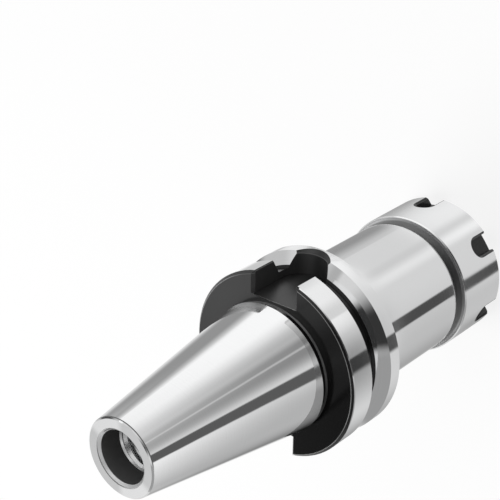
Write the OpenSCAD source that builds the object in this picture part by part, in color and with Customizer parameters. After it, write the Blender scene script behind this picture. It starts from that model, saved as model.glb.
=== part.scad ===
// Collet chuck tool holder with a 7/24 taper shank, a gripper flange and a clamping nut.
// It stands on the face of its nut: z = 0 is the nut's face and +Z runs up the spindle axis
// to the small end of the taper. All sizes are in millimetres.

/* [Taper shank] */
// Distance from the nut's face to the gauge line of the taper
gauge_len = 100; // [96:1:120]
// Diameter of the taper at the gauge line
gauge_d = 44.45; // [44.2:0.05:44.6]
// Length of the taper from the gauge line to its small end
taper_len = 65.4; // [62:0.2:70]
// Length between the gauge line and the first ground turn of the taper
taper_start = 0.6; // [0.1:0.1:2]
// Chamfer on the small end of the taper
taper_end_chamfer = 0.45; // [0.2:0.05:1]
// Diameter of the relief between the taper and the flange
relief_d = 42.6; // [42:0.1:43]
// Chamfer in the corner between the relief and the flange
relief_corner = 0.4; // [0.3:0.1:0.9]

/* [Draw bar bore] */
// Diameter of the pilot bore at the small end
pilot_d = 17; // [16.8:0.1:17.5]
// Depth of the pilot bore
pilot_len = 8.3; // [7:0.1:10]
// Chamfer at the mouth of the pilot bore
pilot_chamfer = 0.9; // [0.4:0.1:1.2]
// Root diameter of the pull stud thread
stud_thread_d = 16; // [15:0.5:16.5]
// Length of the pull stud thread
stud_thread_len = 23; // [18:1:28]
// Diameter of the through hole behind the thread
through_d = 11; // [8:0.5:13]

/* [Flange] */
// Outer diameter of the flange
flange_d = 63; // [62:0.5:66]
// Distance from the gauge line to the rear face of the flange
flange_step = 2; // [1.8:0.1:2.6]
// Thickness of the flange
flange_w = 25; // [24.5:0.5:27]
// Chamfer on the rear edge of the flange
flange_rear_chamfer = 0.9; // [0.4:0.1:1.2]
// Chamfer on the front edge of the flange
flange_front_chamfer = 0.8; // [0.4:0.1:1]
// Distance from the gauge line to the middle of the gripper groove
groove_pos = 16.6; // [16:0.1:17]
// Diameter at the bottom of the gripper groove
groove_d = 53; // [52:0.5:55]
// Width of the flat at the bottom of the gripper groove
groove_w = 4.23; // [3.8:0.01:4.6]
// Angle of each flank of the groove to the radial direction
groove_flank = 30; // [25:1:32]

/* [Drive slots] */
// Width of a drive slot
slot_w = 16.1; // [15:0.1:17]
// Distance from the axis to the floor of a drive slot
slot_floor = 22.6; // [22.5:0.1:24]
// Distance from the gauge line to the round end of a drive slot
slot_end = 24; // [22:0.1:24.2]
// Chamfer on the outer edges of a drive slot
slot_chamfer = 0.4; // [0.2:0.05:0.6]
// Chamfer where a drive slot leaves the rear face of the flange
slot_rear_chamfer = 1; // [0.4:0.1:1.4]

/* [Neck] */
// Diameter of the neck
neck_d = 47; // [45:0.5:48]
// Diameter of the flare where it meets the flange
flare_d = 52.6; // [50:0.2:54]
// Gap between the clamping nut and the full diameter of the neck
neck_gap = 4.2; // [3.8:0.1:6]
// Radius of the neck's front corner
neck_corner_r = 1.3; // [0.6:0.1:1.6]
// Fall of the shoulder between the neck's corner and its step
shoulder_fall = 0.4; // [0.2:0.05:0.6]
// Diameter of the step in front of the shoulder
step_d = 41.2; // [41:0.1:42]
// Height of the step
step_h = 0.9; // [0.5:0.1:1]
// Diameter of the plain register ahead of the thread
register_d = 40; // [39.8:0.1:40.4]
// Root diameter of the nut's thread on the holder
nose_thread_d = 38.2; // [37.8:0.1:38.6]
// Length of the plain register inside the nut
register_in_nut = 1.6; // [1:0.1:2]
// Lead chamfer on the front of the thread
nose_lead = 1; // [0.5:0.1:1.5]

/* [Clamping nut] */
// Outer diameter of the nut
nut_d = 50; // [49:0.5:54]
// Height of the nut
nut_h = 25; // [24:0.5:28]
// Height of the cone at the front of the nut
nut_cone_h = 3.6; // [2.5:0.1:4.5]
// Diameter of the nut's flat face
nut_face_d = 38.8; // [36:0.2:42]
// Chamfer on the rear edge of the nut
nut_rear_chamfer = 0.4; // [0.2:0.05:0.8]
// Diameter of the aperture in the nut's face
nut_aperture_d = 28; // [27.6:0.1:29]
// Thickness of the web that carries the pressing cone
nut_web = 9; // [8.8:0.1:9.3]
// Root diameter of the nut's own thread
nut_thread_d = 40.2; // [40.1:0.1:40.6]
// Radial clearance between the register and the nut's counterbore
register_clear = 0.35; // [0.2:0.05:0.6]
// Depth of the counterbore at the rear of the nut
nut_counterbore = 3; // [2.5:0.1:4]

/* [Spanner slots] */
// Number of spanner slots round the nut
spanner_count = 6; // [4:1:8]
// Width of a spanner slot
spanner_w = 6.2; // [5:0.1:7]
// Depth of a spanner slot below the nut's outside
spanner_depth = 3.6; // [2.5:0.1:4]
// Distance from the nut's face to the round end of a spanner slot
spanner_len = 13; // [11:0.1:19]
// Chamfer round a spanner slot
spanner_chamfer = 0.9; // [0.6:0.1:1.4]
// Angle that the tightened nut has come to rest at
nut_phase = 8; // [0:1:59]

/* [Extraction ring] */
// Thickness of the eccentric lip that pulls the collet out
lip_w = 1.6; // [1.2:0.1:1.8]
// Diameter of the hole in the eccentric lip
lip_d = 31.3; // [31:0.1:31.6]
// Offset of the lip's hole from the axis
lip_offset = 1; // [0.8:0.05:1.1]
// Axial play between the lip and the collet's head
lip_play = 0.35; // [0.2:0.05:0.5]

/* [Collet] */
// Length of the collet
collet_len = 40; // [38:1:44]
// Depth of the collet's face behind the nut's face
collet_recess = 0.4; // [0.2:0.1:0.6]
// Diameter of the collet's head
collet_d = 33; // [32.8:0.1:33.2]
// Diameter of the collet's front face
collet_face_d = 27; // [26.8:0.1:27.2]
// Half angle of the front cone that the nut presses on
press_angle = 30; // [29.5:0.5:30.5]
// Width of the cylindrical band behind the front cone
collet_band = 0.9; // [0.6:0.1:1]
// Width of the collet's groove
collet_groove_w = 2.8; // [2.6:0.1:3.2]
// Diameter at the bottom of the collet's groove
collet_groove_d = 28.2; // [27.6:0.1:28.4]
// Diameter of the main cone at its big end
collet_cone_d = 32.6; // [32.4:0.1:32.8]
// Half angle of the main cone
collet_angle = 8; // [7.5:0.5:8]
// Diameter of the clamping bore
clamp_d = 20; // [12:0.5:20]
// Chamfer on the collet's ends
collet_chamfer = 0.5; // [0.2:0.1:0.8]
// Number of slits from each end
slit_count = 8; // [4:1:8]
// Width of a slit
slit_w = 1; // [0.6:0.1:1.2]
// Length of the uncut web that closes each slit
slit_web = 4.2; // [3:0.1:6]

/* [Collet seat] */
// Clearance between the collet and the cones that hold it
cone_clear = 0.08; // [0.05:0.01:0.12]
// Distance from the collet's groove to the front of the holder's nose
nose_back = 0.6; // [0.4:0.1:1]
// Chamfer at the mouth of the collet seat
seat_chamfer = 0.4; // [0.2:0.1:0.8]
// Diameter of the recess for the tool's shank behind the collet
recess_d = 23.4; // [20:0.2:23.6]
// Length of that recess
recess_len = 22; // [16:1:24]

/* [Hidden] */
$fn = 96;

taper_rate = 7 / 24;
drill_angle = 59;
seam = 0.01;
past = 1;
slot_reach = 3;

// Heights of the holder body
end_z = gauge_len + taper_len;
flange_rear_z = gauge_len - flange_step;
flange_front_z = flange_rear_z - flange_w;
groove_z = gauge_len - groove_pos;
groove_half = groove_w / 2 + (flange_d - groove_d) / 2 * tan(groove_flank);
neck_end_z = nut_h + neck_gap;
corner_z = neck_end_z - neck_corner_r;
shoulder_z = corner_z - shoulder_fall;
step_z = shoulder_z - step_h;
thread_end_z = nut_h - register_in_nut;

// Heights of the collet
head_h = (collet_d - collet_face_d) / 2 / tan(press_angle);
band_z = collet_recess + head_h;
groove_front_z = band_z + collet_band;
groove_rear_z = groove_front_z + collet_groove_w;
collet_end_z = collet_recess + collet_len;
collet_end_r = cone_r(collet_end_z);

// The collet seat in the nose
nose_z = groove_rear_z + nose_back;
seat_end_z = collet_end_z + past;
recess_end_z = seat_end_z + recess_len;
drill_h = (recess_d - through_d) / 2 / tan(drill_angle);
stud_end_z = end_z - pilot_len - stud_thread_len;
stud_drill_h = (stud_thread_d - through_d) / 2 / tan(drill_angle);

// Half the width of a slot's flat, a hair inside its round end so that the two surfaces cross
slot_half = slot_w / 2;
slot_centre_z = gauge_len - slot_end + slot_half;
slot_edge_x = sqrt(pow(flange_d / 2, 2) - pow(slot_half, 2)) - slot_chamfer;
spanner_half = spanner_w / 2;
spanner_edge_x = nut_d / 2 - spanner_chamfer;

// Radius of the collet's main cone at height z
function cone_r(z) = collet_cone_d / 2 - (z - groove_rear_z) * tan(collet_angle);

// Radius of the taper shank at height z
function taper_r(z) = (gauge_d - (z - gauge_len) * taper_rate) / 2;

// Points of a quarter round from the neck's side down to its front
function corner_points(steps) = [
    for (i = [0 : steps])
        [
            neck_d / 2 - neck_corner_r * (1 - cos(90 * i / steps)),
            neck_end_z - neck_corner_r * sin(90 * i / steps)
        ]
];

function reversed(list) = [for (i = [len(list) - 1 : -1 : 0]) list[i]];

// Turned outline of the holder body, from the nose to the small end of the taper
module body_outline() {
    nose = [
        [0, nose_z],
        [nose_thread_d / 2 - nose_lead, nose_z],
        [nose_thread_d / 2, nose_z + nose_lead],
        [nose_thread_d / 2, thread_end_z - (register_d - nose_thread_d) / 2],
        [register_d / 2, thread_end_z],
        [register_d / 2, step_z],
        [step_d / 2, step_z],
        [step_d / 2, shoulder_z]
    ];
    flange = [
        [neck_d / 2, flange_front_z - (flare_d - neck_d) / 2],
        [flare_d / 2, flange_front_z],
        [flange_d / 2 - flange_front_chamfer, flange_front_z],
        [flange_d / 2, flange_front_z + flange_front_chamfer],
        [flange_d / 2, groove_z - groove_half],
        [groove_d / 2, groove_z - groove_w / 2],
        [groove_d / 2, groove_z + groove_w / 2],
        [flange_d / 2, groove_z + groove_half],
        [flange_d / 2, flange_rear_z - flange_rear_chamfer],
        [flange_d / 2 - flange_rear_chamfer, flange_rear_z]
    ];
    shank = [
        [relief_d / 2 + relief_corner, flange_rear_z],
        [relief_d / 2, flange_rear_z + relief_corner],
        [relief_d / 2, gauge_len + taper_start - relief_corner],
        [taper_r(gauge_len + taper_start), gauge_len + taper_start],
        [taper_r(end_z - taper_end_chamfer), end_z - taper_end_chamfer],
        [taper_r(end_z) - taper_end_chamfer, end_z],
        [0, end_z]
    ];
    polygon(concat(nose, reversed(corner_points(6)), flange, shank));
}

// Bores of the holder body: collet seat, shank recess, through hole, thread and pilot
module body_bores() {
    mouth_r = cone_r(nose_z) + cone_clear;
    polygon([
        [0, nose_z - past],
        [mouth_r + seat_chamfer + past, nose_z - past],
        [cone_r(nose_z + seat_chamfer) + cone_clear, nose_z + seat_chamfer],
        [cone_r(seat_end_z) + cone_clear, seat_end_z],
        [recess_d / 2, seat_end_z],
        [recess_d / 2, recess_end_z],
        [through_d / 2, recess_end_z + drill_h],
        [through_d / 2, stud_end_z - stud_drill_h],
        [stud_thread_d / 2, stud_end_z],
        [stud_thread_d / 2, end_z - pilot_len - (pilot_d - stud_thread_d) / 2],
        [pilot_d / 2, end_z - pilot_len],
        [pilot_d / 2, end_z - pilot_chamfer],
        [pilot_d / 2 + pilot_chamfer + past, end_z + past],
        [0, end_z + past]
    ]);
}

// A slot cutter along +X: straight walls that run up from a full round end at height z0
module round_end_slot(half, floor_x, top_x, z0, top_z) {
    translate([floor_x, 0, z0])
        rotate([0, 90, 0])
            cylinder(r = half, h = top_x - floor_x);
    translate([floor_x, seam - half, z0])
        cube([top_x - floor_x, 2 * (half - seam), top_z - z0]);
}

// The flared edge of such a slot, widening at 45 degrees from distance edge_x outwards
module slot_edge(half, edge_x, z0, top_z) {
    translate([edge_x, 0, z0])
        rotate([0, 90, 0])
            cylinder(r1 = half, r2 = half + slot_reach, h = slot_reach);
    translate([0, 0, z0])
        linear_extrude(height = top_z - z0)
            polygon([
                [edge_x, seam - half],
                [edge_x + slot_reach, seam - half - slot_reach],
                [edge_x + slot_reach, half + slot_reach - seam],
                [edge_x, half - seam]
            ]);
}

// Drive slot with its chamfers, cut from the rear face of the flange
module drive_slot() {
    top_x = flange_d / 2 + past;
    round_end_slot(slot_half, slot_floor, top_x, slot_centre_z, flange_rear_z + past);
    slot_edge(slot_half, slot_edge_x, slot_centre_z, flange_rear_z + past);
    translate([slot_floor, 0, 0])
        rotate([90, 0, 90])
            linear_extrude(height = top_x - slot_floor)
                polygon([
                    [seam - slot_half, flange_rear_z - slot_rear_chamfer],
                    [slot_half - seam, flange_rear_z - slot_rear_chamfer],
                    [slot_half + past, flange_rear_z - slot_rear_chamfer + past + seam],
                    [slot_half + past, flange_rear_z + past],
                    [-slot_half - past, flange_rear_z + past],
                    [-slot_half - past, flange_rear_z - slot_rear_chamfer + past + seam]
                ]);
}

// Spanner slot of the nut, open at the nut's face
module spanner_slot() {
    z0 = spanner_len - spanner_half;
    mirror([0, 0, 1]) {
        round_end_slot(spanner_half, nut_d / 2 - spanner_depth, nut_d / 2 + past, -z0, past);
        slot_edge(spanner_half, spanner_edge_x, -z0, past);
    }
}

// One solid piece, turned, milled and ground
module holder_body() {
    color("silver")
        difference() {
            rotate_extrude() body_outline();
            rotate_extrude() body_bores();
            for (side = [0, 180])
                rotate([0, 0, side]) drive_slot();
        }
}

// Turned outline of the nut, with the pressing cone and the thread's root
module nut_outline() {
    press_front_z = collet_recess
        + (nut_aperture_d / 2 - collet_face_d / 2 - cone_clear) / tan(press_angle);
    hollow_r = collet_d / 2 + lip_play;
    press_rear_z = collet_recess
        + (hollow_r - collet_face_d / 2 - cone_clear) / tan(press_angle);
    counterbore_r = register_d / 2 + register_clear;
    counterbore_z = nut_h - nut_counterbore;
    polygon([
        [nut_aperture_d / 2, 0],
        [nut_face_d / 2, 0],
        [nut_d / 2, nut_cone_h],
        [nut_d / 2, nut_h - nut_rear_chamfer],
        [nut_d / 2 - nut_rear_chamfer, nut_h],
        [counterbore_r, nut_h],
        [counterbore_r, counterbore_z],
        [nut_thread_d / 2, counterbore_z],
        [nut_thread_d / 2, nut_web],
        [hollow_r, nut_web],
        [hollow_r, press_rear_z],
        [nut_aperture_d / 2, press_front_z]
    ]);
}

// Eccentric lip that sits in the collet's groove and draws it out as the nut comes off
module extraction_lip() {
    translate([0, 0, groove_front_z + lip_play])
        difference() {
            cylinder(d = (nut_thread_d + collet_d) / 2, h = lip_w);
            translate([lip_offset, 0, -past])
                cylinder(d = lip_d, h = lip_w + 2 * past);
        }
}

// One piece: the six slots take a spanner, the lip holds the collet
module clamping_nut() {
    color("gainsboro")
        rotate([0, 0, nut_phase])
            difference() {
                union() {
                    rotate_extrude() nut_outline();
                    extraction_lip();
                }
                for (i = [0 : spanner_count - 1])
                    rotate([0, 0, i * 360 / spanner_count]) spanner_slot();
            }
}

// Turned outline of the collet
module collet_outline() {
    polygon([
        [clamp_d / 2 + collet_chamfer, collet_recess],
        [collet_face_d / 2, collet_recess],
        [collet_d / 2, band_z],
        [collet_d / 2, groove_front_z],
        [collet_groove_d / 2, groove_front_z],
        [collet_groove_d / 2, groove_rear_z],
        [cone_r(groove_rear_z), groove_rear_z],
        [cone_r(collet_end_z - collet_chamfer), collet_end_z - collet_chamfer],
        [collet_end_r - collet_chamfer, collet_end_z],
        [clamp_d / 2 + collet_chamfer, collet_end_z],
        [clamp_d / 2, collet_end_z - collet_chamfer],
        [clamp_d / 2, collet_recess + collet_chamfer]
    ]);
}

// A ring of slits between two heights
module slits(from_z, to_z, turn) {
    for (i = [0 : slit_count - 1])
        rotate([0, 0, turn + i * 360 / slit_count])
            translate([0, -slit_w / 2, from_z])
                cube([collet_d / 2 + past, slit_w, to_z - from_z]);
}

// Spring collet: the slits run in from both ends in turn, so that the whole wall closes evenly
module collet() {
    half_step = 180 / slit_count;
    color("darkgray")
        difference() {
            rotate_extrude() collet_outline();
            slits(collet_recess - past, collet_end_z - slit_web, half_step / 2);
            slits(collet_recess + slit_web, collet_end_z + past, half_step / 2 + half_step);
        }
}

holder_body();
clamping_nut();
collet();
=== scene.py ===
import math

import bpy
import numpy as np
from mathutils import Matrix, Vector


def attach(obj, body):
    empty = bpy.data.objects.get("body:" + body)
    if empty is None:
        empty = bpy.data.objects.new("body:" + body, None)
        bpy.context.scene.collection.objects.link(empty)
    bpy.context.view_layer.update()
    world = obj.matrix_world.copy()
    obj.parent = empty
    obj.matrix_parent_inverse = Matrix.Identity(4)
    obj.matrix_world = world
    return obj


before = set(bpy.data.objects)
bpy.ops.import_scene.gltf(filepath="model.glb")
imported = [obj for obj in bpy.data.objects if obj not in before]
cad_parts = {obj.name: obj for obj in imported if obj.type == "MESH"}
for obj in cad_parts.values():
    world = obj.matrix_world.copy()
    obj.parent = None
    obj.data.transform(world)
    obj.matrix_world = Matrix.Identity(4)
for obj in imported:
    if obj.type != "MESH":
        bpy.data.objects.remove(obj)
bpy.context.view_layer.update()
print("frame loaded:", ", ".join(sorted(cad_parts)))

mm = 0.001
white = (1.0, 1.0, 1.0, 1.0)

# View of the photograph. The holder stands on its nut, so the tilt is all in the camera's roll
view = {
    "place": (227.0, -239.4, 396.8),    # mm
    "heading": 37.33,    # degrees from +Y towards -X
    "dip": 43.67,    # degrees below the horizon
    "roll": -117.24,    # degrees
    "lens": 102.02,    # mm
    "sensor": 36.0,    # mm
    "clip": (0.01, 60),    # m
}


def makeCamera():
    data = bpy.data.cameras.new("photoView")
    data.lens = view["lens"]
    data.sensor_width = view["sensor"]
    data.clip_start, data.clip_end = view["clip"]
    camera = bpy.data.objects.new("photoView", data)
    bpy.context.scene.collection.objects.link(camera)
    turn = Matrix.Rotation(math.radians(view["heading"]), 4, "Z")
    tip = Matrix.Rotation(math.radians(90 - view["dip"]), 4, "X")
    roll = Matrix.Rotation(math.radians(view["roll"]), 4, "Z")
    camera.matrix_world = Matrix.Translation(Vector(view["place"]) * mm) @ turn @ tip @ roll
    bpy.context.scene.camera = camera


class Signal:
    # One shader socket, so that sums on sockets read as Python sums
    def __init__(self, tree, socket=None):
        self.tree = tree
        self.socket = socket

    def add(self, kind, settings, values, out=0):
        # Adds a node: its own settings first, then what its sockets hold or are linked to
        node = self.tree.nodes.new(kind)
        for name, value in settings.items():
            setattr(node, name, value)
        for name, value in values.items():
            entry = node.inputs[name]
            if isinstance(value, Signal):
                self.tree.links.new(value.socket, entry)
            else:
                entry.default_value = value
        return Signal(self.tree, node.outputs[out])

    def calc(self, operation, *terms):
        return self.add("ShaderNodeMath", {"operation": operation}, dict(enumerate(terms)))

    def __add__(self, other):
        return self.calc("ADD", self, other)

    def __radd__(self, other):
        return self.calc("ADD", other, self)

    def __sub__(self, other):
        return self.calc("SUBTRACT", self, other)

    def __rsub__(self, other):
        return self.calc("SUBTRACT", other, self)

    def __mul__(self, other):
        return self.calc("MULTIPLY", self, other)

    def __rmul__(self, other):
        return self.calc("MULTIPLY", other, self)

    def __truediv__(self, other):
        return self.calc("DIVIDE", self, other)

    def size(self):
        return self.calc("ABSOLUTE", self)

    def root(self):
        return self.calc("SQRT", self)

    def sine(self):
        return self.calc("SINE", self)

    def cosine(self):
        return self.calc("COSINE", self)

    def least(self, other):
        return self.calc("MINIMUM", self, other)

    def most(self, *others):
        top = self
        for other in others:
            top = top.calc("MAXIMUM", top, other)
        return top

    def rise(self, low, high):
        # 0 below low, 1 above high, smooth between; low above high makes it fall
        values = {"Value": self, "From Min": low, "From Max": high}
        return self.add("ShaderNodeMapRange", {"interpolation_type": "SMOOTHSTEP"}, values)

    def above(self, level, soft):
        return self.rise(level - soft, level + soft)

    def under(self, level, soft):
        return self.rise(level + soft, level - soft)

    def between(self, low, high, soft):
        return self.above(low, soft) * self.under(high, soft)

    def line(self, middle, width):
        # 1 on a narrow line, 0 beside it
        return (self - middle).size().rise(width, width * 0.4)

    def blend(self, first, second):
        # Colours: this signal is the share of the second
        values = {0: self, 6: first, 7: second}
        return self.add("ShaderNodeMix", {"data_type": "RGBA"}, values, 2)

    def shift(self, first, second):
        # Plain numbers: this signal is the share of the second
        return self.add("ShaderNodeMix", {"data_type": "FLOAT"}, {0: self, 2: first, 3: second})


def layered(base, *layers):
    # Each layer is a mask and the value that it puts over what is below
    for mask, value in layers:
        base = mask.shift(base, value)
    return base


class Place:
    # Where a surface point lies on the part: mm for lengths, degrees round the axis for headings
    def __init__(self, tree):
        self.start = Signal(tree)
        spot = self.start.add("ShaderNodeTexCoord", {}, {}, "Object")
        self.point = self.start.add(
            "ShaderNodeVectorMath", {"operation": "SCALE"}, {0: spot, "Scale": 1 / mm},
        )
        parts = self.start.add("ShaderNodeSeparateXYZ", {}, {"Vector": self.point}).socket.node
        self.x, self.y, self.z = (Signal(tree, socket) for socket in parts.outputs)
        self.radius = (self.x * self.x + self.y * self.y).root()
        self.turn = self.start.calc("ARCTAN2", self.y, self.x)    # radians
        self.facing = self.start.add("ShaderNodeLayerWeight", {}, {"Blend": 0.5}, "Facing")

    def ring(self, bottom, top, inner, outer):
        # 1 on the surface between two heights and two radii, its edges a few hundredths of a mm soft
        return self.z.between(bottom, top, 0.02) * self.radius.between(inner, outer, 0.04)

    def around(self, heading, begin, end, near, away):
        # near up to the angle begin on both sides of a heading, away beyond the angle end
        aside = self.start.calc("WRAP", self.turn - math.radians(heading), math.pi, -math.pi)
        return aside.size().rise(math.radians(begin), math.radians(end)).shift(near, away)

    def fan(self, heading, away, toward):
        # Painted light and shade by heading: away on the side turned from a heading, growing to toward at
        # the heading
        share = (self.turn - math.radians(heading)).cosine() * 0.5 + 0.5
        return share * share * (toward - away) + away


steelLook = {
    "colour": 0.82,
    "coolness": -0.004,    # share by which red lies off green, and blue off it the other way
    "roughness": 0.05,
    "roughnessSpread": 0.04,    # what the handling haze adds
    "lineRoughness": 0.02,    # what the grinding lines add
    "lineShade": 0.05,    # share of the colour
    "lineSpacing": 0.32,    # mm between grinding lines
    "lineDepth": 0.0006,    # mm
    "grainSize": 0.25,    # mm
    "grainShade": 0.05,    # share of the colour
    "cloudSize": 14.0,    # mm, handling haze
    "plainRoughness": 0.45,    # chamfers left as they were turned
    "blackLevel": 0.005,
    "blackRoughness": 0.18,
    "blackShine": 0.3,
    "blackSheen": 0.8,    # how bright the oxide mirrors at a flat angle
    "edgeHighlightLevel": 0.13,    # painted edge highlight: level of the lighter line along a slot's flared edge
}


def turnedLines(place, spacing):
    # Lines left by the wheel or the lathe tool: circles about the axis, on walls and faces alike
    slant = 1.618    # mm along the axis for a mm outwards, so that a cone's lines stay apart
    settings = {"noise_dimensions": "1D"}
    values = {"W": (place.z + place.radius * slant) / spacing, "Scale": 1.0, "Detail": 2.0, "Roughness": 0.6}
    return place.start.add("ShaderNodeTexNoise", settings, values)


def noise(place, size):
    return place.start.add("ShaderNodeTexNoise", {}, {"Vector": place.point, "Scale": 1 / size})


def steelMaterial(name, look, masks):
    # Ground steel, with black oxide, dull places, and painted light, shade, highlights and reflections where
    # the masks say so
    material = bpy.data.materials.new(name)
    material.use_nodes = True
    tree = material.node_tree
    tree.nodes.clear()
    place = Place(tree)
    start = place.start
    nothing = start.add("ShaderNodeValue", {}, {})
    cover = dict.fromkeys(("black", "level", "soft", "plain", "lift", "sheen"), nothing)
    cover.update(masks(place, look))
    lines = turnedLines(place, look["lineSpacing"]) - 0.5
    grain = noise(place, look["grainSize"]) - 0.5
    haze = noise(place, look["cloudSize"]) - 0.45
    bright = lines * look["lineShade"] + grain * look["grainShade"] + cover["lift"] + look["colour"]
    cool = look["coolness"]
    brightColour = start.add(
        "ShaderNodeCombineColor", {}, {0: bright * (1 + cool), 1: bright, 2: bright * (1 - cool)},
    )
    dark = cover["sheen"].shift(cover["level"], look["blackSheen"])
    darkColour = start.add("ShaderNodeCombineColor", {}, {0: dark, 1: dark, 2: dark})
    ground = haze * look["roughnessSpread"] + lines * look["lineRoughness"] + look["roughness"]
    ground = cover["plain"].shift(ground, look["plainRoughness"])
    bump = start.add(
        "ShaderNodeBump", {},
        {"Height": lines, "Distance": look["lineDepth"] * mm, "Strength": 1.0},
    )
    surface = start.add(
        "ShaderNodeBsdfPrincipled", {},
        {
            "Base Color": cover["black"].blend(brightColour, darkColour),
            "Metallic": 1 - cover["black"] * (1 - cover["sheen"]),
            "Roughness": cover["black"].shift(ground, cover["soft"]),
            "Specular IOR Level": look["blackShine"],
            "Normal": bump,
        },
    )
    output = tree.nodes.new("ShaderNodeOutputMaterial")
    tree.links.new(surface.socket, output.inputs["Surface"])
    return material


# Black, dull and bright places of the holder, with painted light, shade, highlights and reflections
holderLook = {
    # Rings: bottom and top, inner and outer radius, mm
    "relief": (98.42, 100.58, 15.0, 32.0),    # the undercut between taper and flange
    "corner": (97.9, 98.42, 20.9, 21.75),    # where it meets the rear face
    "groove": (80.6, 86.2, 25.0, 27.35),
    "pilotBore": (157.2, 164.45, 0.0, 8.8),
    "cutThread": (0.0, 157.15, 0.0, 8.95),
    "mouth": (164.45, 166.0, 0.0, 9.47),    # the pilot's chamfer
    "endFace": (165.3, 166.0, 0.0, 32.0),
    "neckCorner": (26.4, 29.4, 19.1, 32.0),
    "neckShade": (27.9, 29.25, 19.1, 32.0),
    "rearFace": (98.06, 21.75, 32.0),    # top, inner, outer; its bottom lies higher near heading -55
    # Values round the axis: heading, angles where the change begins and ends, value near it and away
    "rearBottom": (-55, 46, 69, 97.33, 96.92),    # mm
    "innerPaintedLight": (-60, 34, 69, 2.0, 1.0),    # painted light: the rear face is lighter close to the taper
    # painted highlight: the line at the rear face's rim is brighter near heading -55
    "rimHighlightLevel": (-55, 46, 69, 0.3, 0.1),
    # painted highlight: the corner is a little less black near heading -25
    "cornerShare": (-25, 34, 80, 0.82, 0.98),
    "reliefSheen": (-90, 29, 74, 0.0, 1.0),
    # painted reflection: a dark line on the pilot's chamfer near heading 140
    "mouthShare": (140, 34, 69, 0.75, 0.0),
    # painted reflection: a dark line at the taper's small end near heading -15
    "endShare": (-15, 57, 72, 0.85, 0.0),
    "shadeShare": (-62, 11, 52, 0.45, 0.0),
    # Painted light and shade by heading: the heading, level away from it and towards it
    "rearPaintedFan": (45, 0.004, 0.05),
    # painted light: the pilot bore is lighter towards heading 150
    "pilotPaintedFan": (150, 0.05, 0.12),
    # Lines: radius or height, width, mm
    # painted highlight round the rim of the rear face
    "rimHighlightLine": (30.55, 0.15),
    # painted reflection: the dark line on the pilot's chamfer
    "mouthLine": (9.3, 0.15),
    # painted reflection: the dark line at the taper's small end
    "endLine": (164.9, 0.2),
    # Radii between which the painted light on the rear face comes up, mm
    "innerRing": (26.0, 22.0),
    # Shares and plain values
    "pilotRoughness": 0.38,
    "cutThreadShare": 0.45,
    "neckShare": 0.7,
    "mouthLift": 0.13,
    "lobes": {"heading": 30, "edge": (0.2, 0.7), "shades": (-0.08, 0.15)},    # painted reflection: two lighter lobes on the end face
    # How flat a face is seen where the oxide starts to mirror
    "sheen": {"rear": (0.37, 0.5), "slot": (0.82, 0.94), "slotMouth": (0.52, 0.64)},
    "sheenTop": 97.95,    # the rear face mirrors only above this height
}

# The drive slots, both folded onto the one at +X, mm
driveSlot = {
    "bottom": 73.1,
    "floor": 22.6,    # from the axis
    "slack": 0.2,    # either side of the floor
    "edge": 30.05,    # from here outwards it is flared
    "centre": 84.05,    # height of the round end's centre
    "half": 8.09,    # half width
    "edgeHighlight": (0.14, 7.64),    # painted edge highlight: width of the lighter line along the flared edge, and how far from the centre it begins
    "mouth": (96.9, 98.06, 20.9, 32.0),    # ring of the chamfer at the rear face
    "mouthHalf": 9.2,
    "wallLevel": 0.034,
    "floorLevel": 0.017,
    "roughness": 0.36,
    # painted light: walls and floor lighter along a band across the slot
    "glow": {"across": 3.0, "fade": (3.4, 0.3), "more": 0.9},
    # painted light: a lighter patch on the slot's floor
    "lit": {"heights": (80, 96), "slant": 0.42, "from": 85.0, "across": (8.6, 4.6), "levels": (0.003, 0.05)},
    # Duller steel at the taper's big end beside it
    "dull": {"start": 100.55, "heights": (106.5, 101.5), "across": 7.0, "fade": (10.0, 4.0),
             "out": (14.0, 17.0), "share": 0.8},
}


def driveSlotMasks(place, slot):
    # One distance describes the walls, the round end and the flare
    out = place.x.size()
    across = place.y * place.start.calc("SIGN", place.x)
    below = (place.z - slot["centre"]).least(0.0)
    reach = (place.y * place.y + below * below).root()
    flared = reach - (out - slot["edge"]).most(0.0)
    whole = flared.under(slot["half"], 0.04) * out.above(slot["floor"] - slot["slack"], 0.05)
    whole = whole * place.z.above(slot["bottom"], 0.1)
    floor = out.under(slot["floor"] + slot["slack"], 0.1)
    width, begins = slot["edgeHighlight"]
    # Painted edge highlight: a lighter line where the flare begins
    edgeHighlight = whole * out.line(slot["edge"], width) * reach.above(begins, 0.05)
    mouth = place.ring(*slot["mouth"]) * place.y.size().under(slot["mouthHalf"], 0.05)
    # Painted light: the walls and floor are lighter along a band across the slot
    glow = slot["glow"]
    brighter = (across - glow["across"]).size().rise(*glow["fade"]) * glow["more"] + 1.0
    # Painted light: a lighter patch on the floor, slanting with height
    lit = slot["lit"]
    patch = place.z.rise(*lit["heights"])
    patch = patch * (across + (place.z - lit["from"]) * lit["slant"]).rise(*lit["across"])
    floorLevel = brighter * slot["floorLevel"] + patch.shift(*lit["levels"])
    dull = slot["dull"]
    dullSteel = place.z.above(dull["start"], 0.05) * place.z.rise(*dull["heights"])
    dullSteel = dullSteel * (across - dull["across"]).size().rise(*dull["fade"])
    dullSteel = dullSteel * out.rise(*dull["out"]) * dull["share"]
    return {
        "whole": whole,
        "walls": whole * (1 - floor),
        "edgeHighlight": edgeHighlight,
        "mouth": mouth,
        "level": floor.shift(brighter * slot["wallLevel"], floorLevel),
        "dullSteel": dullSteel,
    }


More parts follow.
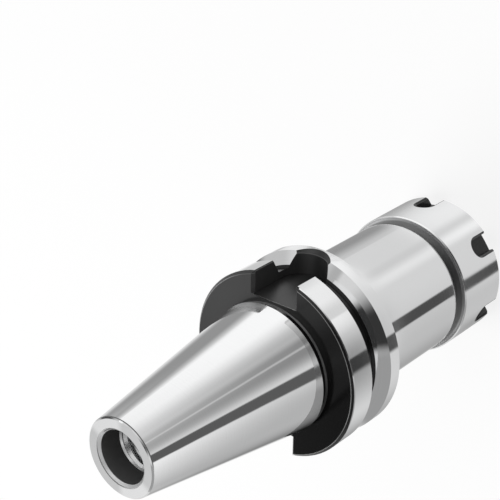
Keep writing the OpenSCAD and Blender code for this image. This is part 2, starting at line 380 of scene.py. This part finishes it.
def holderMasks(place, look):
    slot = driveSlotMasks(place, driveSlot)
    top, inner, outer = look["rearFace"]
    rear = place.ring(place.around(*look["rearBottom"]), top, inner, outer)
    # Painted light and shade: the rear face's level follows the heading, and is lifted close to the taper
    rearPaintedLevel = place.fan(*look["rearPaintedFan"])
    closeIn = place.radius.rise(*look["innerRing"])
    rearPaintedLevel = rearPaintedLevel * closeIn.shift(1.0, place.around(*look["innerPaintedLight"]))
    # Painted highlight: a lighter line round the rim of the rear face
    rimHighlight = rear * place.radius.line(*look["rimHighlightLine"])
    bore = place.ring(*look["pilotBore"])
    mouth = place.ring(*look["mouth"])
    relief = place.ring(*look["relief"])
    # Painted highlight: some steel shows at the corner near heading -25
    corner = place.ring(*look["corner"]) * place.around(*look["cornerShare"])
    # Painted reflection: a dark line on the pilot's chamfer
    mouthLine = mouth * place.radius.line(*look["mouthLine"]) * place.around(*look["mouthShare"])
    # Painted reflection: a dark line at the taper's small end
    endLine = place.z.line(*look["endLine"]) * place.around(*look["endShare"])
    shade = place.ring(*look["neckShade"]) * place.around(*look["shadeShare"])
    lobes = look["lobes"]
    # Painted reflection: two lighter lobes across the end face
    lobe = ((place.turn - math.radians(lobes["heading"])) * 2.0).cosine().rise(*lobes["edge"])
    sheen = look["sheen"]
    flat = rear * place.z.above(look["sheenTop"], 0.02)
    flat = flat.most(relief * place.around(*look["reliefSheen"])) * place.facing.rise(*sheen["rear"])
    walls = slot["walls"] * place.facing.rise(*sheen["slot"])
    chamfer = slot["mouth"] * (1 - slot["whole"]) * place.facing.rise(*sheen["slotMouth"])
    black = rear.most(relief, place.ring(*look["groove"]), slot["whole"], slot["mouth"], bore)
    return {
        # The oxide, with a painted highlight at the corner, painted reflections as dark lines at the mouth
        # and the small end, and the painted shade at the neck's end
        "black": black.most(corner, endLine, mouthLine, shade),
        "level": layered(
            look["blackLevel"],
            (rear, rearPaintedLevel),
            (rimHighlight, place.around(*look["rimHighlightLevel"])),
            (slot["whole"], slot["level"]),
            (slot["edgeHighlight"], look["edgeHighlightLevel"]),
            # painted light on the pilot bore, by heading
            (bore, place.fan(*look["pilotPaintedFan"])),
        ),
        "soft": layered(
            look["blackRoughness"],
            (slot["whole"], driveSlot["roughness"]),
            (bore, look["pilotRoughness"]),
        ),
        "plain": mouth.most(
            place.ring(*look["neckCorner"]) * look["neckShare"],
            place.ring(*look["cutThread"]) * look["cutThreadShare"],
            slot["dullSteel"],
        ),
        # A lighter pilot chamfer, and the painted reflection lobes on the end face
        "lift": mouth * look["mouthLift"] + place.ring(*look["endFace"]) * lobe.shift(*lobes["shades"]),
        "sheen": flat.most(walls, chamfer),
    }


# The nut's finish, with painted shade on its rear face and painted edge highlights at its slots, mm and
# degrees
nutLook = {
    "roughness": 0.10,
    "slotPhase": 8.0,    # heading of the first spanner slot
    "slotHalf": 3.31,    # half width of the black
    "slotFloor": 21.25,    # from the axis, a little inside the real one
    "slotEdge": 24.1,    # from here outwards it is flared
    "slotCentre": 9.9,    # height of the round end's centre
    "slotLevel": 0.012,
    "slotRoughness": 0.25,
    "slotEdgeHighlight": (0.12, 2.79, 0.3),    # painted edge highlight: width of the lighter line, how far out it begins, share
    "rearHeight": (24.9, 24.98),    # heights between which the rear face begins
    "rearShares": (23.4, 23.8, 0.88, 0.2),    # painted shade: radii between which its black ends, shares inside, outside
    "rearLine": (24.3, 0.15),    # painted shade: radius and width of a dark line at its edge
    "rearLineShare": 0.7,
    "rearPaintedLevel": (-62, 0, 63, 0.0, 0.36),    # painted shade: heading, angles, level near it and away
    "rearRoughness": 0.3,
    "rearPlain": 0.5,
}


def nutMasks(place, look):
    # The six spanner slots with their flared edges are folded onto one: a whole turn keeps the angle
    # above zero, and half a sixth puts each slot in the middle of its own sixth
    sixth = math.radians(60)
    folded = place.turn - math.radians(look["slotPhase"]) + sixth * 6.5
    folded = place.start.calc("MODULO", folded, sixth) - sixth / 2
    across = place.radius * folded.sine()
    out = place.radius * folded.cosine()
    beyond = (place.z - look["slotCentre"]).most(0.0)
    reach = (across * across + beyond * beyond).root()
    flared = reach - (out - look["slotEdge"]).most(0.0)
    slot = flared.under(look["slotHalf"], 0.05) * place.radius.above(look["slotFloor"], 0.05)
    width, begins, edgeHighlightShare = look["slotEdgeHighlight"]
    # Painted edge highlight: a lighter line where each slot's flare begins
    edgeHighlight = slot * out.line(look["slotEdge"], width) * reach.above(begins, 0.05) * edgeHighlightShare
    # Painted shade: the rear face is dark on its inner part and along a line at its edge
    rear = place.z.rise(*look["rearHeight"])
    inside, outside, innerShare, outerShare = look["rearShares"]
    share = place.radius.rise(inside, outside).shift(innerShare, outerShare)
    share = share.most(place.radius.line(*look["rearLine"]) * look["rearLineShare"])
    return {
        "black": slot.most(rear * share),
        "level": layered(
            # painted shade by heading on the rear face
            place.around(*look["rearPaintedLevel"]),
            (slot, look["slotLevel"]),
            (edgeHighlight, look["edgeHighlightLevel"]),
        ),
        "soft": slot.shift(look["rearRoughness"], look["slotRoughness"]),
        "plain": rear * look["rearPlain"],
    }


# The collet is finely ground spring steel
colletLook = {
    "colour": 0.62,
    "roughness": 0.2,
}


def colletMasks(place, look):
    return {}    # nothing black, dull or painted


def dressNodes():
    ground = steelMaterial("groundSteel", {**steelLook, **holderLook}, holderMasks)
    nut = steelMaterial("nutSteel", {**steelLook, **nutLook}, nutMasks)
    spring = steelMaterial("springSteel", {**steelLook, **colletLook}, colletMasks)
    for node, material in (("holder_body", ground), ("clamping_nut", nut), ("collet", spring)):
        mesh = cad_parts[node].data
        mesh.materials.clear()
        mesh.materials.append(material)
    return ground, nut


# The three threads, mm: radius of the root, height of the ridge (inwards where side is -1), half widths
# at root and crest, pitch, heights from and to, and the share of a turn at which the ridge starts
threads = {
    "stud_thread": {"root": 8.0, "side": -1, "height": 1.0, "half": 0.86, "crest": 0.2, "pitch": 2.0,
                    "from": 134.8, "to": 156.4, "start": 0.0},
    "nose_thread": {"root": 19.1, "side": 1, "height": 0.82, "half": 0.62, "crest": 0.12, "pitch": 1.5,
                    "from": 11.6, "to": 22.4, "start": 0.0},
    # Half a pitch off the nose's ridge, so that the two clear each other
    "nut_thread": {"root": 20.1, "side": -1, "height": 0.82, "half": 0.62, "crest": 0.12, "pitch": 1.5,
                   "from": 10.1, "to": 21.2, "start": 0.5},
}
threadMaking = {
    "stepsPerTurn": 72,
    "buried": 0.15,    # mm of the ridge inside the wall
    "runOut": 0.4,    # turns over which it fades at both ends
    "least": 0.05,    # share of the height that is left at the very end
}


def makeThread(name, body, material):
    # A closed profile, a trapezoid on a buried foot, is carried along a helix: a point of it stands off
    # the root's radius by its height, turns once for each turn travelled and climbs one pitch meanwhile
    size = threads[name]
    turns = (size["to"] - size["from"]) / size["pitch"]
    travelled = np.linspace(0, turns, int(turns * threadMaking["stepsPerTurn"]) + 1)[:, None]
    toEnd = np.minimum(travelled, turns - travelled)
    fade = np.clip(toEnd / threadMaking["runOut"], threadMaking["least"], 1.0)
    half, crest, tall, foot = size["half"], size["crest"], size["height"], -threadMaking["buried"]
    profile = np.array([
        (foot, -half), (0.0, -half), (tall, -crest), (tall, crest), (0.0, half), (foot, half),
    ])
    if size["side"] > 0:
        profile = profile[::-1]    # keeps the faces pointing outwards
    rise, along = profile.T[:, None, :]
    rise = np.where(rise > 0, rise * fade, rise)
    radius = (size["root"] + size["side"] * rise) * mm
    height = (size["from"] + travelled * size["pitch"] + along) * mm
    angle = (travelled + size["start"]) * 2 * math.pi
    points = np.stack([radius * np.cos(angle), radius * np.sin(angle), height], -1)
    rows, across = points.shape[:2]
    i, j = np.meshgrid(np.arange(rows - 1), np.arange(across), indexing="ij")
    k = (j + 1) % across
    quads = np.stack([i * across + j, i * across + k, (i + 1) * across + k, (i + 1) * across + j], -1)
    ends = [list(range(across))[::-1], list(range((rows - 1) * across, rows * across))]
    mesh = bpy.data.meshes.new(name)
    mesh.from_pydata(points.reshape(-1, 3).tolist(), [], quads.reshape(-1, 4).tolist() + ends)
    mesh.update()
    mesh.materials.append(material)
    piece = bpy.data.objects.new(name, mesh)
    bpy.context.scene.collection.objects.link(piece)
    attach(piece, body)


# Reflector cards and dark cards round the part, as directions: the metal mirrors them.
# Headings are counted from +X towards +Y and elevations from the horizon, in degrees.
# A card begins at the first heading, is full from the second to the third and ends at the fourth.
# Its layer gives the elevation of its bottom and top and their softness. Later cards hide earlier ones.
# lean turns it for each degree above -45. tilt tips the layers, as a lamp stand not quite level.
nutLayer = (-90, -49.6, 0.4)
neckLayer = (-49.6, -46.6, 0.25)
frontLayer = (-46.6, -45.25, 0.2)
rearLayer = (-45.25, -42.8, 0.2)
taperLayer = (-42.8, -14.5, 0.3)
bothWays = (*taperLayer, "mirrored")    # the same cards stand above the horizon too
lowerFlank = (-14.5, -2, 1)
flank = (18, 62, 4)
overhead = (60, 90, 3)
room = {
    "base": 0.78,
    "tilt": (0.8, -1.04),
    "cards": [
        # light, headings, layer, lean
        (0.64, (-192, -168, -131, -101), nutLayer, 0),
        (0.41, (56, 115, 170, 204), nutLayer, 0),
        (1.08, (-37, -22, -21, -5), nutLayer, 0),
        (1.02, (-6, 12, 22, 89), nutLayer, 0),
        (0.60, (-221, -190, -149, -51), neckLayer, 0),
        (0.34, (40, 86, 110, 136), neckLayer, 0),
        (0.41, (140, 159, 161, 218), neckLayer, 0),
        (0.93, (-38.5, -23, -22, -10), neckLayer, 0),
        (0.72, (-12, -7, -3, 8), neckLayer, 0),
        (0.76, (-190, -124, -105, -56), frontLayer, 0),
        (0.45, (123, 130, 160, 224), frontLayer, 0),
        (0.66, (-92, -88, -83, -24), frontLayer, 0),
        (1.08, (-46, 17, 47, 66), frontLayer, 0),
        (0.58, (104, 107, 110, 123), frontLayer, 0),
        (0.96, (65, 75, 88, 110), frontLayer, 0),
        (0.34, (-165, -98, -87, -48), rearLayer, 0),
        (1.01, (-61, -40, -39, -36), rearLayer, 0),
        (1.01, (-30, -13, 3, 20), rearLayer, 0),
        (0.66, (60, 90, 98, 112), rearLayer, 0),
        (1.05, (100, 118, 125, 140), rearLayer, 0),
        (0.36, (131, 145, 147, 208), rearLayer, 0),
        (0.53, (-207, -176, -122, -72), bothWays, 0),
        (0.26, (148, 164, 167, 206), taperLayer, -0.23),
        (0.80, (132, 146, 170, 200), (-31, -10, 7), 0),
        (1.23, (-191, -170, -96, -82), (-22, -10, 9), 0),
        (0.86, (-81, -77, -72, -64.5), bothWays, 0),
        (0.265, (-86, -54, -30, -21), bothWays, 0),
        (0.50, (-40, -28.5, -27, -4.5), bothWays, 0),
        (0.53, (-50, -47.6, -47, -44.5), bothWays, 0),
        (1.14, (-16, 11, 48, 53), bothWays, 0),
        (0.345, (58, 75, 96, 121), taperLayer, -0.87),
        (0.85, (52, 66, 110, 130), (-24, -10, 8), 0),
        (0.92, (-95, -7, 58, 107), (-20, -10, 9), 0),
        (0.086, (-113.2, -109.4, -94, -90.5), nutLayer, 0),
        (0.083, (-109.8, -106.4, -91.2, -87.6), neckLayer, 0),
        (0.09, (-111.5, -105.5, -91, -87.8), frontLayer, 0),
        (0.05, (-108.5, -102, -89, -86), rearLayer, 0),
        (0.118, (-108.6, -105.2, -90, -87), bothWays, 0.43),
        (0.04, (-104, -92, -46, -30), lowerFlank, 0),
        (1.05, (-36, -24, -8, 6), lowerFlank, 0),
        (0.37, (135, 155, 238, 252), flank, 0),
        (0.05, (-95, -80, -45, -20), (36, 52, 3), 0),
        (0.62, (64, 76, 120, 140), (0, 36, 4), 0),
        (0.04, (-130, -112, -68, 4), overhead, 0),
        (0.50, (19, 26, 30, 40), (52, 68, 4), 0),
        (0.08, (182.4, 190.4, 214.4, 222.4), (8, 52, 4), -2.07),
        (0.03, (133, 135.5, 160, 175), (37, 60, 1), 0),
    ],
}


def makeWorld():
    world = bpy.data.worlds.new("studio")
    bpy.context.scene.world = world
    world.use_nodes = True
    tree = world.node_tree
    tree.nodes.clear()
    start = Signal(tree)
    ray = start.add("ShaderNodeTexCoord", {}, {}, "Generated")
    parts = start.add("ShaderNodeSeparateXYZ", {}, {"Vector": ray}).socket.node
    x, y, z = (Signal(tree, socket) for socket in parts.outputs)
    heading = start.calc("ARCTAN2", y, x) * math.degrees(1)
    tiltX, tiltY = room["tilt"]
    elevation = start.calc("ARCSINE", z) * math.degrees(1) + x * tiltX + y * tiltY
    folded = 0.0 - elevation.size()    # above the horizon as below it
    light = room["base"]
    for level, headings, (bottom, top, soft, *mirrored), lean in room["cards"]:
        height = folded if mirrored else elevation
        middle = (headings[1] + headings[2]) / 2
        aside = start.calc("WRAP", heading - middle - (height + 45.0) * lean, 180.0, -180.0)
        begins, full, fades, ends = (value - middle for value in headings)
        card = aside.rise(begins, full) * aside.rise(ends, fades) * height.between(bottom, top, soft)
        light = card.shift(light, level)
    seen = start.add("ShaderNodeLightPath", {}, {}, "Is Camera Ray")
    background = start.add(
        "ShaderNodeBackground", {}, {"Color": white, "Strength": seen.shift(light, 1.0)},
    )
    output = tree.nodes.new("ShaderNodeOutputWorld")
    tree.links.new(background.socket, output.inputs["Surface"])


paperFloor = {
    "half": 8.0,    # m
    "seenWhite": 0.82,    # share of plain white that the camera sees, the rest takes the shadow
}


def makeFloor():
    half = paperFloor["half"]
    mesh = bpy.data.meshes.new("floor")
    corners = [(-half, -half, 0), (half, -half, 0), (half, half, 0), (-half, half, 0)]
    mesh.from_pydata(corners, [], [(0, 1, 2, 3)])
    material = bpy.data.materials.new("paper")
    material.use_nodes = True
    tree = material.node_tree
    tree.nodes.clear()
    start = Signal(tree)
    paper = start.add("ShaderNodeBsdfDiffuse", {}, {"Color": white})
    glow = start.add("ShaderNodeEmission", {}, {"Color": white, "Strength": 1.0})
    seen = start.add("ShaderNodeLightPath", {}, {}, "Is Camera Ray")
    mixed = start.add("ShaderNodeMixShader", {}, {0: seen * paperFloor["seenWhite"], 1: paper, 2: glow})
    output = tree.nodes.new("ShaderNodeOutputMaterial")
    tree.links.new(mixed.socket, output.inputs["Surface"])
    mesh.materials.append(material)
    floor = bpy.data.objects.new("floor", mesh)
    bpy.context.scene.collection.objects.link(floor)
    floor.visible_glossy = False    # the metal mirrors the cards, as on a sheet of glass


softLamp = {
    "place": (-0.35, 0.45, 1.0),    # m
    "aim": (0, 0, 0.08),    # m
    "size": 0.6,    # m
    "power": 6.0,    # W
}


def makeLamp():
    data = bpy.data.lights.new("softLamp", "AREA")
    data.shape = "DISK"
    data.size = softLamp["size"]
    data.energy = softLamp["power"]
    lamp = bpy.data.objects.new("softLamp", data)
    bpy.context.scene.collection.objects.link(lamp)
    lamp.location = softLamp["place"]
    toPart = Vector(softLamp["aim"]) - lamp.location
    lamp.rotation_euler = toPart.to_track_quat("-Z", "Y").to_euler()
    lamp.visible_glossy = False


bpy.context.scene.view_settings.view_transform = "Standard"
makeCamera()
print("camera placed")
groundSteel, nutSteel = dressNodes()
print("materials made")
makeThread("stud_thread", "holder", groundSteel)
makeThread("nose_thread", "holder", groundSteel)
makeThread("nut_thread", "nut", nutSteel)
print("threads made")
makeWorld()
makeFloor()
makeLamp()
print("studio made")
